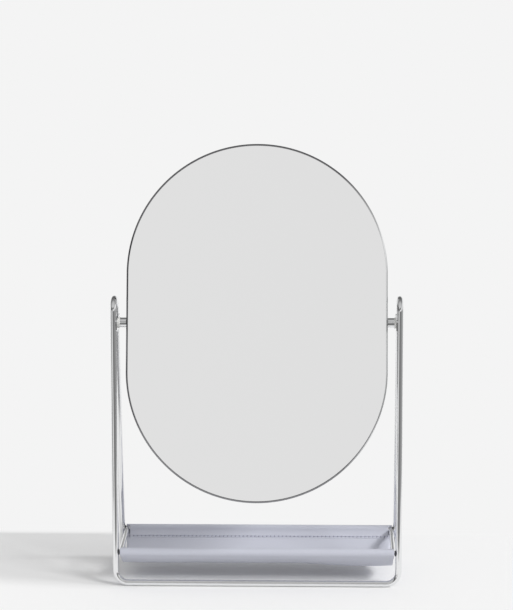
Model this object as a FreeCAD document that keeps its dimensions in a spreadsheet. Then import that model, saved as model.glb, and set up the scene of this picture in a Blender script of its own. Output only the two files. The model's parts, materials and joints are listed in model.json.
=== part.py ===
import FreeCAD, Part

import math
import os

import Sketcher

# Tilting table mirror: a pill-shaped mirror head hung between two wire hairpins,
# with a shallow leather tray slung between the hairpins above the floor bars.
# Frame: +Z up, front towards -Y, origin on the table midway between the floor bars.
# All sizes are millimetres; angles are degrees.

SIZES = {
    # Stand wires
    "wire_diameter": 4.0,
    "stand_depth": 54.8,
    "stand_height": 186.0,
    "loop_radius": 8.0,
    "foot_bend_radius": 8.0,
    "weld_depth": 0.15,
    # Pivot
    "pivot_drop": 17.5,
    "head_tilt": 17.0,
    "plate_thickness": 1.2,
    "plate_height": 7.8,
    "plate_overhang": 1.5,
    "plate_inset": 0.75,
    "plate_corner_radius": 1.5,
    "boss_diameter": 6.4,
    "boss_length": 4.1,
    "screw_diameter": 3.0,
    "screw_clearance": 0.08,
    "screw_head_diameter": 5.7,
    "screw_head_height": 1.7,
    "socket_width": 2.0,
    "socket_depth": 1.0,
    "washer_diameter": 7.0,
    "inner_washer_thickness": 0.9,
    "outer_washer_thickness": 0.5,
    "spring_diameter": 6.0,
    "spring_thickness": 0.35,
    "spring_cone": 0.3,
    "pivot_gap": 0.05,
    # Mirror head
    "mirror_width": 167.0,
    "mirror_height": 229.5,
    "band_wall": 0.8,
    "band_lip": 0.5,
    "band_lip_reach": 1.2,
    "glass_thickness": 3.0,
    "foam_thickness": 0.8,
    "foam_margin": 4.0,
    "board_thickness": 1.6,
    "cover_thickness": 0.6,
    "edge_clearance": 0.15,
    # Tray
    "tray_height": 22.2,
    "rail_diameter": 3.0,
    "side_bar_diameter": 3.0,
    "side_bar_overhang": 1.5,
    "tray_drop": 13.4,
    "skin_thickness": 1.2,
    "stiffener_thickness": 0.8,
    "lining_thickness": 1.0,
    "tray_end_gap": 1.4,
    "tray_end_pull": 1.5,
    "bar_clearance": 0.4,
    "flap_reach": 6.4,
}

NODE_FOLDER = "parts"
HEXAGON = 6
FULL_TURN = 360
THREE_QUARTER_TURN = 270
HALF_TURN = 180
QUARTER_TURN = 90
X_AXIS = FreeCAD.Vector(1, 0, 0)
Y_AXIS = FreeCAD.Vector(0, 1, 0)
# How a sketch counts its axes and the points of an element.
VERTICAL_AXIS, HORIZONTAL_AXIS = range(-2, 0)
START, END, CENTRE = range(1, 4)
ORIGIN_POINT = (HORIZONTAL_AXIS, START)

# Lengths that several pieces share, written as expressions of the driving sizes.
# The sandwich of the head, and the band round it.
SANDWICH = (
    "(Sizes.glass_thickness + Sizes.foam_thickness + Sizes.board_thickness + Sizes.cover_thickness)"
)
BAND_DEPTH = f"({SANDWICH} + 2 * Sizes.band_lip)"
BAND_RADIUS = "(Sizes.mirror_width / 2)"
PLATE_RADIUS = f"({BAND_RADIUS} - Sizes.band_wall - Sizes.edge_clearance)"
STRAIGHT_SIDE = "(Sizes.mirror_height - Sizes.mirror_width)"
# The pivot stack, outwards from the band; the lug's outer face sets where the legs stand.
INNER_WASHER_X = f"({BAND_RADIUS} + Sizes.boss_length)"
PLATE_INNER_X = f"({INNER_WASHER_X} + Sizes.inner_washer_thickness + Sizes.pivot_gap)"
PLATE_OUTER_X = f"({PLATE_INNER_X} + Sizes.plate_thickness)"
OUTER_WASHER_X = f"({PLATE_OUTER_X} + Sizes.pivot_gap)"
SPRING_X = f"({OUTER_WASHER_X} + Sizes.outer_washer_thickness)"
SCREW_HEAD_X = f"({SPRING_X} + Sizes.spring_thickness + Sizes.spring_cone)"
SCREW_HOLE = "(Sizes.screw_diameter / 2 + Sizes.screw_clearance)"
PIVOT_Z = "(Sizes.stand_height - Sizes.pivot_drop)"
# The stand: the legs' planes, the floor bars and the lean of the legs.
LEG_INNER_X = f"({PLATE_OUTER_X} - Sizes.plate_inset)"
LEG_X = f"({LEG_INNER_X} + Sizes.wire_diameter / 2)"
BAR_Y = "(Sizes.stand_depth / 2 - Sizes.wire_diameter / 2)"
BAR_Z = "(Sizes.wire_diameter / 2)"
LOOP_Z = "(Sizes.stand_height - Sizes.wire_diameter / 2 - Sizes.loop_radius)"
RISE = f"({LOOP_Z} - {BAR_Z})"
LEAN = f"(acos(Sizes.loop_radius / sqrt({BAR_Y} * {BAR_Y} + {RISE} * {RISE})) - atan2({RISE}; {BAR_Y}))"
PIVOT_LEG_Y = f"({BAR_Y} - ({PIVOT_Z} - {BAR_Z}) * tan({LEAN}))"
RAIL_Y = f"({BAR_Y} - (Sizes.tray_height - {BAR_Z}) * tan({LEAN}))"
SIDE_BAR_X = f"({LEG_INNER_X} + Sizes.weld_depth - Sizes.side_bar_diameter / 2)"
# The tray's section: arcs about one centre line, above and between the rails.
HEM_RADIUS = "(Sizes.rail_diameter / 2 + Sizes.skin_thickness)"
SAG = f"(Sizes.tray_drop - {HEM_RADIUS})"
ARC_RISE = f"(({RAIL_Y} * {RAIL_Y} - {SAG} * {SAG}) / (2 * {SAG}))"
SKIN_RADIUS = f"({ARC_RISE} + Sizes.tray_drop)"
TRAY_TOP = "(Sizes.tray_height - Sizes.side_bar_diameter / 2 - Sizes.bar_clearance)"
TRAY_HALF_LENGTH = f"({LEG_INNER_X} - Sizes.tray_end_gap)"
HEM_HALF_LENGTH = f"({SIDE_BAR_X} - Sizes.side_bar_diameter / 2 - Sizes.bar_clearance)"
LINER_INSET = "(Sizes.skin_thickness + Sizes.stiffener_thickness + Sizes.lining_thickness)"
# The sag draws the middle of each open end inwards, along an arc seen from above.
PULL = "Sizes.tray_end_pull"
END_ARC_RADIUS = f"(({RAIL_Y} * {RAIL_Y} + {PULL} * {PULL}) / (2 * {PULL}))"

doc = FreeCAD.newDocument("table_mirror")
nodes = []


def make_sheet():
    """Write the driving sizes, one per row, each with its name as alias."""
    sheet = doc.addObject("Spreadsheet::Sheet", "Sizes")
    for row, (name, value) in enumerate(SIZES.items(), start=1):
        sheet.set(f"A{row}", name)
        sheet.set(f"B{row}", str(value))
        sheet.setAlias(f"B{row}", name)
    doc.recompute()
    return sheet


sheet = make_sheet()


def size(name):
    """One driving size as it now stands in the sheet."""
    return float(sheet.get(name))


def value(expression):
    """What an expression of the driving sizes comes to now, as a plain number."""
    result = sheet.evalExpression(expression)
    return float(getattr(result, "Value", result))


def bind(obj, **expressions):
    """Bind properties to expressions; a double underscore stands for a dot."""
    for name, expression in expressions.items():
        obj.setExpression(name.replace("__", "."), expression)
    return obj


def keep(obj, label):
    """Give a finished sub-part its name and put it on the list to export."""
    obj.Label = label
    nodes.append(obj)
    return obj


def sides():
    """Both sides of the mirror, with the sign of their X."""
    return (("left", -1), ("right", 1))


def ends():
    """Front and rear, with the sign of their Y."""
    return (("front", -1), ("rear", 1))


# Bodies, sketches and constraints


def new_body(name):
    return doc.addObject("PartDesign::Body", name)


def new_sketch(body, role, offset=None):
    """A sketch on one of the body's own origin planes, moved along its normal by offset."""
    sketch = body.newObject("Sketcher::SketchObject", f"{body.Name}_sketch")
    plane = next(item for item in body.Origin.OriginFeatures if item.Role == role)
    sketch.AttachmentSupport = [(plane, "")]
    sketch.MapMode = "FlatFace"
    if offset:
        sketch.setExpression("AttachmentOffset.Base.z", offset)
    return sketch


def constrain(sketch, *rule):
    """Add one constraint without a size of its own."""
    sketch.addConstraint(Sketcher.Constraint(*rule))


def dimension(sketch, *rule, to):
    """Add one dimension, bound to an expression and starting at what it comes to."""
    index = sketch.addConstraint(Sketcher.Constraint(*rule, value(to)))
    sketch.setExpression(f"Constraints[{index}]", to)


def point(x, y):
    return FreeCAD.Vector(x, y, 0)


def place_point(sketch, geometry, position, x, y):
    """Fix a point of the sketch at two expressions."""
    dimension(sketch, "DistanceX", *ORIGIN_POINT, geometry, position, to=x)
    dimension(sketch, "DistanceY", *ORIGIN_POINT, geometry, position, to=y)


def add_circle(sketch, radius, x=None, y=None):
    """A circle round the origin, or round the point given by two expressions."""
    circle = sketch.addGeometry(Part.Circle(point(0, 0), FreeCAD.Vector(0, 0, 1), value(radius)))
    dimension(sketch, "Radius", circle, to=radius)
    if x is None:
        constrain(sketch, "Coincident", circle, CENTRE, *ORIGIN_POINT)
    else:
        place_point(sketch, circle, CENTRE, x, y)
    return circle


def arc_between(centre, radius, start, end):
    circle = Part.Circle(centre, FreeCAD.Vector(0, 0, 1), radius)
    return Part.ArcOfCircle(circle, math.radians(start), math.radians(end))


def add_pill(sketch, radius):
    """A pill outline about the origin: two half circles joined by straight sides."""
    end_radius = value(radius)
    half = value(STRAIGHT_SIDE) / 2
    top = sketch.addGeometry(arc_between(point(0, half), end_radius, 0, HALF_TURN))
    bottom = sketch.addGeometry(arc_between(point(0, -half), end_radius, HALF_TURN, FULL_TURN))
    left = sketch.addGeometry(Part.LineSegment(point(-end_radius, half), point(-end_radius, -half)))
    right = sketch.addGeometry(Part.LineSegment(point(end_radius, -half), point(end_radius, half)))
    constrain(sketch, "Tangent", top, END, left, START)
    constrain(sketch, "Tangent", left, END, bottom, START)
    constrain(sketch, "Tangent", bottom, END, right, START)
    constrain(sketch, "Tangent", right, END, top, START)
    constrain(sketch, "PointOnObject", top, CENTRE, VERTICAL_AXIS)
    constrain(sketch, "Symmetric", top, CENTRE, bottom, CENTRE, *ORIGIN_POINT)
    dimension(sketch, "DistanceY", bottom, CENTRE, top, CENTRE, to=STRAIGHT_SIDE)
    dimension(sketch, "Radius", top, to=radius)


def pad(body, sketch, length, midplane=False):
    """Pad a sketch along its normal."""
    feature = body.newObject("PartDesign::Pad", f"{body.Name}_pad")
    feature.Profile = sketch
    feature.Midplane = midplane
    feature.setExpression("Length", length)
    body.Tip = feature
    return feature


def revolve(body, sketch):
    """Revolve a sketch a full turn about its own horizontal axis."""
    feature = body.newObject("PartDesign::Revolution", f"{body.Name}_revolution")
    feature.Profile = sketch
    feature.ReferenceAxis = (sketch, ["H_Axis"])
    feature.Angle = FULL_TURN
    body.Tip = feature
    return feature


def sweep(body, profile, path):
    """Sweep a round section along a path of lines and arcs."""
    feature = body.newObject("PartDesign::AdditivePipe", f"{body.Name}_pipe")
    feature.Profile = profile
    feature.Spine = path
    body.Tip = feature
    return feature


def cut(base, tool, name):
    feature = doc.addObject("Part::Cut", name)
    feature.Base = base
    feature.Tool = tool
    return feature


def cylinder_along_x(name, radius, length):
    """A cylinder centred on the origin with its axis along X."""
    rod = doc.addObject("Part::Cylinder", name)
    rod.Placement.Rotation = FreeCAD.Rotation(Y_AXIS, QUARTER_TURN)
    bind(rod, Radius=radius, Height=length, Placement__Base__x=f"-({length}) / 2")
    return rod


def cylinder_along_y(name, radius, length):
    """A cylinder centred on the origin with its axis along Y."""
    rod = doc.addObject("Part::Cylinder", name)
    rod.Placement.Rotation = FreeCAD.Rotation(X_AXIS, -QUARTER_TURN)
    bind(rod, Radius=radius, Height=length, Placement__Base__y=f"-({length}) / 2")
    return rod


# Stand


def hairpin_path(sketch):
    """Front leg, loop and rear leg; each leg aims at its floor bar's centre line."""
    lean = math.radians(value(LEAN))
    radius = size("loop_radius")
    bar_y, bar_z, loop_z = value(BAR_Y), value(BAR_Z), value(LOOP_Z)
    bend = size("foot_bend_radius")
    foot = point(bar_y, bar_z)
    ankle = point(bar_y - bend * math.sin(lean), bar_z + bend * math.cos(lean))
    shoulder = point(radius * math.cos(lean), loop_z + radius * math.sin(lean))
    arc_end = math.degrees(lean)
    loop = sketch.addGeometry(
        arc_between(point(0, loop_z), radius, arc_end, HALF_TURN - arc_end)
    )
    rear = sketch.addGeometry(Part.LineSegment(shoulder, ankle))
    front = sketch.addGeometry(
        Part.LineSegment(point(-shoulder.x, shoulder.y), point(-ankle.x, ankle.y))
    )
    guide = sketch.addGeometry(Part.LineSegment(ankle, foot), True)
    constrain(sketch, "Tangent", loop, START, rear, START)
    constrain(sketch, "Tangent", loop, END, front, START)
    constrain(sketch, "Tangent", rear, END, guide, START)
    constrain(sketch, "Symmetric", rear, END, front, END, VERTICAL_AXIS)
    constrain(sketch, "PointOnObject", loop, CENTRE, VERTICAL_AXIS)
    dimension(sketch, "DistanceY", *ORIGIN_POINT, loop, CENTRE, to=LOOP_Z)
    dimension(sketch, "Radius", loop, to="Sizes.loop_radius")
    dimension(sketch, "Distance", guide, to="Sizes.foot_bend_radius")
    place_point(sketch, guide, END, BAR_Y, BAR_Z)


def make_hairpin(side, sign):
    """Two legs and a top loop, bent from one round wire in an upright plane."""
    body = new_body(f"hairpin_{side}_body")
    path = new_sketch(body, "YZ_Plane")
    hairpin_path(path)
    section = new_sketch(body, "XZ_Plane")
    # The section stands square to the loop at its top, on the mirror's middle plane.
    add_circle(section, "Sizes.wire_diameter / 2", "0", f"{LOOP_Z} + Sizes.loop_radius")
    sweep(body, section, path)
    bind(body, Placement__Base__x=f"{sign} * {LEG_X}")
    return keep(body, f"hairpin_{side}")


def floor_bar_path(sketch):
    """A straight floor bar with a rounded corner at each end."""
    bend = size("foot_bend_radius")
    straight = value(LEG_X) - bend
    bar = sketch.addGeometry(Part.LineSegment(point(-straight, 0), point(straight, 0)))
    right = sketch.addGeometry(arc_between(point(straight, bend), bend, THREE_QUARTER_TURN, FULL_TURN))
    left = sketch.addGeometry(arc_between(point(-straight, bend), bend, HALF_TURN, THREE_QUARTER_TURN))
    constrain(sketch, "Tangent", left, END, bar, START)
    constrain(sketch, "Tangent", bar, END, right, START)
    constrain(sketch, "PointOnObject", bar, START, HORIZONTAL_AXIS)
    constrain(sketch, "Symmetric", bar, START, bar, END, VERTICAL_AXIS)
    dimension(sketch, "Radius", right, to="Sizes.foot_bend_radius")
    constrain(sketch, "Equal", left, right)
    place_point(sketch, right, END, LEG_X, "Sizes.foot_bend_radius")
    constrain(sketch, "Horizontal", right, END, left, START)


def make_floor_bar(end, sign):
    """The bar that rests on the table; its corners turn up in the plane of the legs."""
    body = new_body(f"floor_bar_{end}_body")
    path = new_sketch(body, "XZ_Plane")
    floor_bar_path(path)
    section = new_sketch(body, "YZ_Plane")
    add_circle(section, "Sizes.wire_diameter / 2")
    sweep(body, section, path)
    body.Placement.Rotation = FreeCAD.Rotation(X_AXIS, sign)
    bind(
        body,
        Placement__Rotation__Angle=f"{LEAN}",
        Placement__Base__y=f"{sign} * {BAR_Y}",
        Placement__Base__z=BAR_Z,
    )
    return keep(body, f"floor_bar_{end}")


def rounded_plate(sketch):
    """A rectangle about the origin with rounded corners and the pivot hole."""
    width = f"2 * ({PIVOT_LEG_Y} + Sizes.plate_overhang)"
    half_y = value(width) / 2
    half_z = size("plate_height") / 2
    radius = size("plate_corner_radius")
    inner_y, inner_z = half_y - radius, half_z - radius
    lines = [
        (point(-inner_y, -half_z), point(inner_y, -half_z)),
        (point(half_y, -inner_z), point(half_y, inner_z)),
        (point(inner_y, half_z), point(-inner_y, half_z)),
        (point(-half_y, inner_z), point(-half_y, -inner_z)),
    ]
    corners = [
        (inner_y, -inner_z, THREE_QUARTER_TURN),
        (inner_y, inner_z, 0),
        (-inner_y, inner_z, QUARTER_TURN),
        (-inner_y, -inner_z, HALF_TURN),
    ]
    edges = [sketch.addGeometry(Part.LineSegment(*line)) for line in lines]
    arcs = [
        sketch.addGeometry(arc_between(point(y, z), radius, start, start + QUARTER_TURN))
        for y, z, start in corners
    ]
    for index, arc in enumerate(arcs):
        constrain(sketch, "Tangent", edges[index], END, arc, START)
        constrain(sketch, "Tangent", arc, END, edges[(index + 1) % len(edges)], START)
        if index:
            constrain(sketch, "Equal", arcs[0], arc)
    bottom, rear, top, front = edges
    constrain(sketch, "Horizontal", bottom)
    constrain(sketch, "Horizontal", top)
    constrain(sketch, "Vertical", rear)
    constrain(sketch, "Vertical", front)
    constrain(sketch, "Symmetric", arcs[0], CENTRE, arcs[2], CENTRE, *ORIGIN_POINT)
    dimension(sketch, "Radius", arcs[0], to="Sizes.plate_corner_radius")
    dimension(sketch, "DistanceX", front, START, rear, START, to=width)
    dimension(sketch, "DistanceY", bottom, START, top, START, to="Sizes.plate_height")
    add_circle(sketch, SCREW_HOLE)


def make_pivot_plate(side, sign, hairpin):
    """A lug let in between the two wires of a hairpin, standing proud of their inner side."""
    body = new_body(f"pivot_plate_{side}_body")
    sketch = new_sketch(body, "YZ_Plane")
    rounded_plate(sketch)
    pad(body, sketch, "Sizes.plate_thickness", midplane=True)
    middle = f"{sign} * ({PLATE_OUTER_X} - Sizes.plate_thickness / 2)"
    bind(body, Placement__Base__x=middle, Placement__Base__z=PIVOT_Z)
    return keep(cut(body, hairpin, f"pivot_plate_{side}_cut"), f"pivot_plate_{side}")


def make_side_bar(side, sign, hairpin):
    """A thin bar welded to the inside of the front and rear legs, at tray height."""
    length = f"2 * ({RAIL_Y} + Sizes.side_bar_overhang)"
    rod = cylinder_along_y(f"side_bar_{side}_rod", "Sizes.side_bar_diameter / 2", length)
    bind(rod, Placement__Base__x=f"{sign} * {SIDE_BAR_X}", Placement__Base__z="Sizes.tray_height")
    bar = cut(rod, hairpin, f"side_bar_{side}_cut")
    return keep(bar, f"tray_side_bar_{side}")


def make_rail(end, sign, side_bars):
    """A thin rail welded between the side bars; its ends are shaped to fit them."""
    rod = cylinder_along_x(f"rail_{end}_rod", "Sizes.rail_diameter / 2", f"2 * {SIDE_BAR_X}")
    bind(rod, Placement__Base__y=f"{sign} * {RAIL_Y}", Placement__Base__z="Sizes.tray_height")
    left = cut(rod, side_bars[0], f"rail_{end}_left_cut")
    both = cut(left, side_bars[1], f"rail_{end}_cut")
    return keep(both, f"tray_rail_{end}")


# Tray


def tray_block(name, inset, top=TRAY_TOP):
    """The round-bottomed solid under a level top plane, inset from the skin's outside."""
    body = new_body(name)
    sketch = new_sketch(body, "YZ_Plane")
    radius = f"({SKIN_RADIUS} - {inset})"
    depth_of_top = f"({ARC_RISE} + Sizes.tray_height - {top})"
    start_radius, drop = value(radius), value(depth_of_top)
    half = math.sqrt(start_radius**2 - drop**2)
    spread = math.degrees(math.atan2(half, drop))
    arc = sketch.addGeometry(
        arc_between(
            point(0, 0), start_radius, THREE_QUARTER_TURN - spread, THREE_QUARTER_TURN + spread
        )
    )
    line = sketch.addGeometry(Part.LineSegment(point(half, -drop), point(-half, -drop)))
    constrain(sketch, "Coincident", arc, END, line, START)
    constrain(sketch, "Coincident", line, END, arc, START)
    constrain(sketch, "Horizontal", line)
    constrain(sketch, "Coincident", arc, CENTRE, *ORIGIN_POINT)
    dimension(sketch, "Radius", arc, to=radius)
    dimension(sketch, "DistanceY", line, START, *ORIGIN_POINT, to=depth_of_top)
    pad(body, sketch, f"2 * {TRAY_HALF_LENGTH}", midplane=True)
    bind(body, Placement__Base__z=f"Sizes.tray_height + {ARC_RISE}")
    return body


def end_trimmers():
    """Two upright rounds that trim the open ends along their arcs."""
    rounds = []
    for side, sign in sides():
        trimmer = doc.addObject("Part::Cylinder", f"tray_end_trim_{side}")
        middle = f"{sign} * ({TRAY_HALF_LENGTH} - {PULL} + {END_ARC_RADIUS})"
        bind(
            trimmer,
            Radius=END_ARC_RADIUS,
            Height="Sizes.tray_height",
            Placement__Base__x=middle,
        )
        rounds.append(trimmer)
    return fuse("tray_end_trims", rounds)


def hem_cylinder(name, end_sign, radius):
    """A round along one rail, as long as the hem."""
    rod = cylinder_along_x(name, radius, f"2 * {HEM_HALF_LENGTH}")
    bind(rod, Placement__Base__y=f"{end_sign} * {RAIL_Y}", Placement__Base__z="Sizes.tray_height")
    return rod


def make_flap(end, sign, lining_inside, flap_inside):
    """The strip of skin that comes over the rail and is stitched down inside the tray."""
    strip = cut(lining_inside, flap_inside, f"flap_{end}_layer")
    box = doc.addObject("Part::Box", f"flap_{end}_box")
    bind(
        box,
        Length=f"2 * {HEM_HALF_LENGTH}",
        Width="Sizes.flap_reach",
        Height="Sizes.tray_drop",
        Placement__Base__x=f"-({HEM_HALF_LENGTH})",
        Placement__Base__y=f"{sign} * {RAIL_Y} - {(1 + sign) // 2} * Sizes.flap_reach",
        Placement__Base__z="Sizes.tray_height - Sizes.tray_drop",
    )
    flap = doc.addObject("Part::Common", f"flap_{end}")
    flap.Base = strip
    flap.Tool = box
    return flap


def make_tray():
    """Skin, stiffener and lining: three open-ended troughs in each other, hung on the rails."""
    skin_outside = tray_block("tray_skin_outside", "0")
    skin_inside = tray_block("tray_skin_inside", "Sizes.skin_thickness")
    stiffener_inside = tray_block(
        "tray_stiffener_inside", "(Sizes.skin_thickness + Sizes.stiffener_thickness)"
    )
    lining_inside = tray_block("tray_lining_inside", LINER_INSET, "Sizes.tray_height")
    flap_inside = tray_block(
        "tray_flap_inside", f"({LINER_INSET} + Sizes.skin_thickness)", "Sizes.tray_height"
    )
    hems = [hem_cylinder(f"hem_{end}", sign, HEM_RADIUS) for end, sign in ends()]
    rails = [hem_cylinder(f"hem_bore_{end}", sign, "Sizes.rail_diameter / 2") for end, sign in ends()]
    flaps = [make_flap(end, sign, lining_inside, flap_inside) for end, sign in ends()]
    both_hems = fuse("both_hems", hems)
    both_rails = fuse("both_hem_bores", rails)
    trims = end_trimmers()
    shell = cut(skin_outside, skin_inside, "tray_skin_shell")
    trimmed_shell = cut(shell, trims, "tray_skin_trimmed")
    whole = fuse("tray_skin_whole", [trimmed_shell, both_hems, *flaps])
    keep(cut(whole, both_rails, "tray_skin_cut"), "tray_skin")
    hems_and_trims = fuse("tray_hems_and_trims", [both_hems, trims])
    board = cut(skin_inside, stiffener_inside, "tray_stiffener_shell")
    keep(cut(board, hems_and_trims, "tray_stiffener_cut"), "tray_stiffener")
    # The lining lies flush with the flaps and tucks under them.
    lining = cut(stiffener_inside, flap_inside, "tray_lining_shell")
    around_lining = fuse("tray_around_lining", [hems_and_trims, *flaps])
    keep(cut(lining, around_lining, "tray_lining_cut"), "tray_lining")


def fuse(name, shapes):
    feature = doc.addObject("Part::MultiFuse", name)
    feature.Shapes = shapes
    return feature


# Mirror head


def hang_on_pivot(body):
    """Stand a flat head piece up and tilt it back about the pivot line."""
    body.Placement.Rotation = FreeCAD.Rotation(X_AXIS, QUARTER_TURN)
    bind(
        body,
        Placement__Rotation__Angle=f"{QUARTER_TURN} - Sizes.head_tilt",
        Placement__Base__z=PIVOT_Z,
    )
    return body


def make_band():
    """A thin channel bent round the sandwich: a wall with a lip in front and behind."""
    body = new_body("rim_band_body")
    wall = new_sketch(body, "XY_Plane")
    add_pill(wall, BAND_RADIUS)
    add_pill(wall, f"{BAND_RADIUS} - Sizes.band_wall")
    pad(body, wall, BAND_DEPTH, midplane=True)
    for offset in (f"{SANDWICH} / 2", f"-{SANDWICH} / 2 - Sizes.band_lip"):
        lip = new_sketch(body, "XY_Plane", offset)
        add_pill(lip, BAND_RADIUS)
        add_pill(lip, f"{BAND_RADIUS} - Sizes.band_lip_reach")
        pad(body, lip, "Sizes.band_lip")
    hang_on_pivot(body)
    return keep(body, "rim_band")


def make_layer(label, back, thickness, radius):
    """One flat pill of the sandwich; back is its rear face, counted from the middle."""
    body = new_body(f"{label}_body")
    sketch = new_sketch(body, "XY_Plane", back)
    add_pill(sketch, radius)
    pad(body, sketch, thickness)
    hang_on_pivot(body)
    return keep(body, label)


def make_sandwich():
    """Glass, foam sheet, board and cover, front to back, filling the band."""
    cover_back = f"-{SANDWICH} / 2"
    board_back = f"{cover_back} + Sizes.cover_thickness"
    foam_back = f"{board_back} + Sizes.board_thickness"
    glass_back = f"{foam_back} + Sizes.foam_thickness"
    make_layer("back_cover", cover_back, "Sizes.cover_thickness", PLATE_RADIUS)
    make_layer("back_board", board_back, "Sizes.board_thickness", PLATE_RADIUS)
    foam_radius = f"{BAND_RADIUS} - Sizes.foam_margin"
    make_layer("foam_pad", foam_back, "Sizes.foam_thickness", foam_radius)
    make_layer("front_glass", glass_back, "Sizes.glass_thickness", PLATE_RADIUS)


# Pivots: every piece is turned about its own X axis and points outwards.


def outward(obj, sign, distance):
    """Turn a piece made along +X to face outwards on its side of the head."""
    obj.Placement.Rotation = FreeCAD.Rotation(FreeCAD.Vector(0, 0, 1), QUARTER_TURN * (1 - sign))
    bind(obj, Placement__Base__x=f"{sign} * {distance}", Placement__Base__z=PIVOT_Z)
    return obj


def make_ring(label, sign, start, length, outer, inner):
    """A plain turned ring or tube along X, from start outwards."""
    body = new_body(f"{label}_body")
    sketch = new_sketch(body, "YZ_Plane")
    add_circle(sketch, outer)
    add_circle(sketch, inner)
    pad(body, sketch, length)
    outward(body, sign, start)
    return keep(body, label)


def make_boss(side, sign):
    """The threaded boss welded to the band; the screw fills its thread."""
    make_ring(
        f"pivot_boss_{side}",
        sign,
        BAND_RADIUS,
        "Sizes.boss_length",
        "Sizes.boss_diameter / 2",
        "Sizes.screw_diameter / 2",
    )


def make_washers(side, sign):
    """Nylon washers on both faces of the lug."""
    outer = "Sizes.washer_diameter / 2"
    inner_length = "Sizes.inner_washer_thickness"
    outer_length = "Sizes.outer_washer_thickness"
    make_ring(f"inner_washer_{side}", sign, INNER_WASHER_X, inner_length, outer, SCREW_HOLE)
    make_ring(f"outer_washer_{side}", sign, OUTER_WASHER_X, outer_length, outer, SCREW_HOLE)


def polygon(sketch, corners):
    """A closed outline through corners, each a pair of expressions."""
    count = len(corners)
    starts = [point(value(x), value(y)) for x, y in corners]
    lines = [
        sketch.addGeometry(Part.LineSegment(starts[i], starts[(i + 1) % count]))
        for i in range(count)
    ]
    for i, line in enumerate(lines):
        constrain(sketch, "Coincident", line, END, lines[(i + 1) % count], START)
        place_point(sketch, line, START, *corners[i])


def make_cup_spring(side, sign):
    """A conical spring washer between the outer nylon washer and the screw's head."""
    label = f"cup_spring_{side}"
    body = new_body(f"{label}_body")
    sketch = new_sketch(body, "XZ_Plane")
    rim = "Sizes.spring_diameter / 2"
    polygon(
        sketch,
        [
            ("0", rim),
            ("Sizes.spring_thickness", rim),
            ("Sizes.spring_thickness + Sizes.spring_cone", SCREW_HOLE),
            ("Sizes.spring_cone", SCREW_HOLE),
        ],
    )
    revolve(body, sketch)
    outward(body, sign, SPRING_X)
    return keep(body, label)


def make_screw(side, sign):
    """A button-head screw: shank through the lug and into the boss, hexagon socket outside."""
    label = f"pivot_screw_{side}"
    body = new_body(f"{label}_body")
    sketch = new_sketch(body, "XZ_Plane")
    shank = "Sizes.screw_diameter / 2"
    shank_end = f"{BAND_RADIUS} - {SCREW_HEAD_X}"
    head = "Sizes.screw_head_diameter / 2"
    height = "Sizes.screw_head_height"
    polygon(
        sketch,
        [
            (shank_end, "0"),
            (height, "0"),
            (height, f"{head} / 2"),
            (f"{height} / 2", head),
            ("0", head),
            ("0", shank),
            (shank_end, shank),
        ],
    )
    revolve(body, sketch)
    doc.recompute()
    cut_socket(body)
    outward(body, sign, SCREW_HEAD_X)
    return keep(body, label)


def cut_socket(body):
    """A hexagon socket in the outer face of the screw's head."""
    before = body.Tip.Shape.Volume
    sketch = new_sketch(body, "YZ_Plane", "Sizes.screw_head_height")
    corner_circle = "Sizes.socket_width / 2 / cos(30)"
    reach = value(corner_circle)
    angles = [math.radians(side * FULL_TURN / HEXAGON) for side in range(HEXAGON)]
    corners = [point(reach * math.cos(angle), reach * math.sin(angle)) for angle in angles]
    sides_of_socket = [
        sketch.addGeometry(Part.LineSegment(corners[i], corners[(i + 1) % HEXAGON]))
        for i in range(HEXAGON)
    ]
    guide = add_circle(sketch, corner_circle)
    sketch.toggleConstruction(guide)
    for i, line in enumerate(sides_of_socket):
        constrain(sketch, "Coincident", line, END, sides_of_socket[(i + 1) % HEXAGON], START)
        constrain(sketch, "PointOnObject", line, START, guide)
        if i:
            constrain(sketch, "Equal", sides_of_socket[0], line)
    constrain(sketch, "PointOnObject", sides_of_socket[0], START, HORIZONTAL_AXIS)
    pocket = body.newObject("PartDesign::Pocket", f"{body.Name}_socket")
    pocket.Profile = sketch
    pocket.setExpression("Length", "Sizes.socket_depth")
    body.Tip = pocket
    doc.recompute()
    if pocket.Shape.Volume >= before:
        raise RuntimeError(f"{body.Name}: the socket cut nothing")


# Assembly and export


def make_stand():
    hairpins = {side: make_hairpin(side, sign) for side, sign in sides()}
    for end, sign in ends():
        make_floor_bar(end, sign)
    side_bars = []
    for side, sign in sides():
        make_pivot_plate(side, sign, hairpins[side])
        side_bars.append(make_side_bar(side, sign, hairpins[side]))
    for end, sign in ends():
        make_rail(end, sign, side_bars)


def make_pivots():
    for side, sign in sides():
        make_boss(side, sign)
        make_washers(side, sign)
        make_cup_spring(side, sign)
        make_screw(side, sign)


def check_document():
    """Stop before export if any object failed or any sub-part isn't a sound solid."""
    for obj in doc.Objects:
        if {"Invalid", "Error"} & set(obj.State):
            raise RuntimeError(f"{obj.Name} failed: {obj.State}")
    for node in nodes:
        shape = node.Shape
        if shape.isNull() or not shape.isValid() or not shape.Solids:
            raise RuntimeError(f"{node.Label} isn't a valid solid")


def export_nodes():
    os.makedirs(NODE_FOLDER, exist_ok=True)
    for node in nodes:
        node.Shape.exportStep(os.path.join(NODE_FOLDER, f"{node.Label}.step"))
        box = node.Shape.BoundBox
        print(
            f"{node.Label:22s} solids {len(node.Shape.Solids)}  volume {node.Shape.Volume:9.1f}"
            f"  x {box.XMin:7.2f} {box.XMax:7.2f}  y {box.YMin:7.2f} {box.YMax:7.2f}"
            f"  z {box.ZMin:7.2f} {box.ZMax:7.2f}"
        )


make_stand()
make_tray()
make_band()
make_sandwich()
make_pivots()
doc.recompute()
check_document()
export_nodes()
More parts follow.
